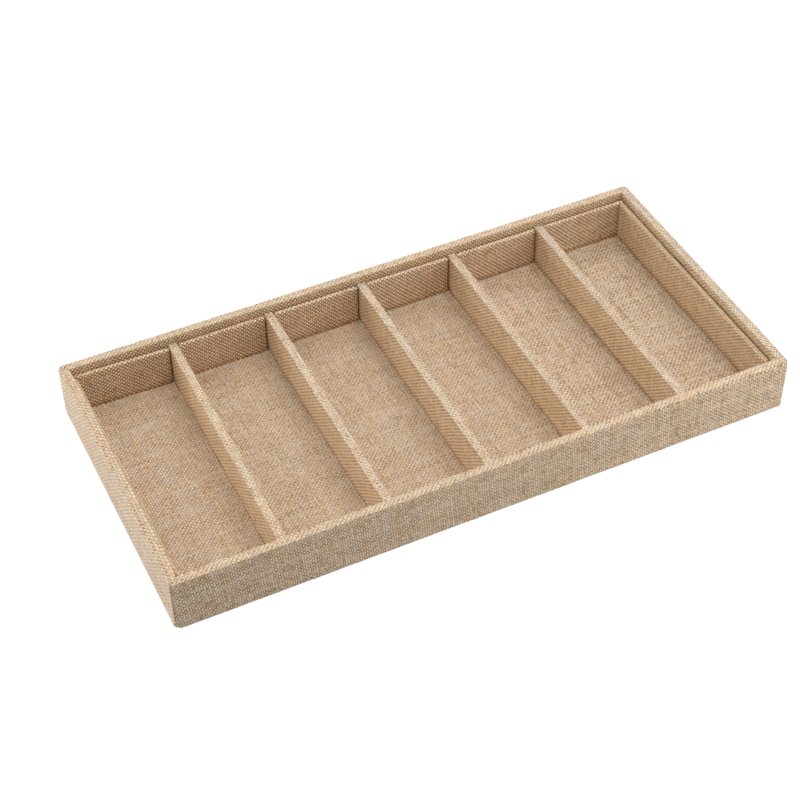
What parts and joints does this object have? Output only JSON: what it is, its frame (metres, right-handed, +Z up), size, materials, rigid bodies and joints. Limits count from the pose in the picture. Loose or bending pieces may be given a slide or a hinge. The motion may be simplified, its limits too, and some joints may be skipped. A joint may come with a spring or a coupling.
{
  "type": "sunglasses organizer tray",
  "caption": "Shallow rectangular tray covered in natural linen cloth, split into long side-by-side bays by lift-out dividers, each bay holding a folded pair of sunglasses.",
  "frame": {"origin": "on the table, under the middle of the tray", "axes": "+X along the long side towards the right end, +Y towards the back long side, +Z up out of the open top"},
  "size_m": [0.38, 0.185, 0.035],
  "materials": {
    "linen_cloth": "plain woven natural linen look, matte",
    "fibreboard": "raw medium-density fibreboard",
    "grey_card": "raw grey card",
    "backing_paper": "matte kraft backing paper"
  },
  "bodies": {
    "tray": {"base_board": "fibreboard", "front_wall_board": "fibreboard", "back_wall_board": "fibreboard", "left_wall_board": "fibreboard", "right_wall_board": "fibreboard", "outer_cloth_wrap": "linen_cloth", "backing_sheet": "backing_paper", "floor_cloth": "linen_cloth", "front_liner_card_1": "grey_card", "front_liner_cloth_1": "linen_cloth", "front_liner_card_2": "grey_card", "front_liner_cloth_2": "linen_cloth", "front_liner_card_3": "grey_card", "front_liner_cloth_3": "linen_cloth", "front_liner_card_4": "grey_card", "front_liner_cloth_4": "linen_cloth", "front_liner_card_5": "grey_card", "front_liner_cloth_5": "linen_cloth", "front_liner_card_6": "grey_card", "front_liner_cloth_6": "linen_cloth", "back_liner_card_1": "grey_card", "back_liner_cloth_1": "linen_cloth", "back_liner_card_2": "grey_card", "back_liner_cloth_2": "linen_cloth", "back_liner_card_3": "grey_card", "back_liner_cloth_3": "linen_cloth", "back_liner_card_4": "grey_card", "back_liner_cloth_4": "linen_cloth", "back_liner_card_5": "grey_card", "back_liner_cloth_5": "linen_cloth", "back_liner_card_6": "grey_card", "back_liner_cloth_6": "linen_cloth", "left_liner_card": "grey_card", "left_liner_cloth": "linen_cloth", "right_liner_card": "grey_card", "right_liner_cloth": "linen_cloth"},
    "divider_1": {"divider_1_board": "fibreboard", "divider_1_cloth": "linen_cloth"},
    "divider_2": {"divider_2_board": "fibreboard", "divider_2_cloth": "linen_cloth"},
    "divider_3": {"divider_3_board": "fibreboard", "divider_3_cloth": "linen_cloth"},
    "divider_4": {"divider_4_board": "fibreboard", "divider_4_cloth": "linen_cloth"},
    "divider_5": {"divider_5_board": "fibreboard", "divider_5_cloth": "linen_cloth"}
  },
  "joints": [
    {"name": "divider_1_lift", "type": "slide", "parent": "tray", "child": "divider_1", "axis": [0, 0, 1], "range_m": [0, 0.035]},
    {"name": "divider_2_lift", "type": "slide", "parent": "tray", "child": "divider_2", "axis": [0, 0, 1], "range_m": [0, 0.035]},
    {"name": "divider_3_lift", "type": "slide", "parent": "tray", "child": "divider_3", "axis": [0, 0, 1], "range_m": [0, 0.035]},
    {"name": "divider_4_lift", "type": "slide", "parent": "tray", "child": "divider_4", "axis": [0, 0, 1], "range_m": [0, 0.035]},
    {"name": "divider_5_lift", "type": "slide", "parent": "tray", "child": "divider_5", "axis": [0, 0, 1], "range_m": [0, 0.035]}
  ]
}
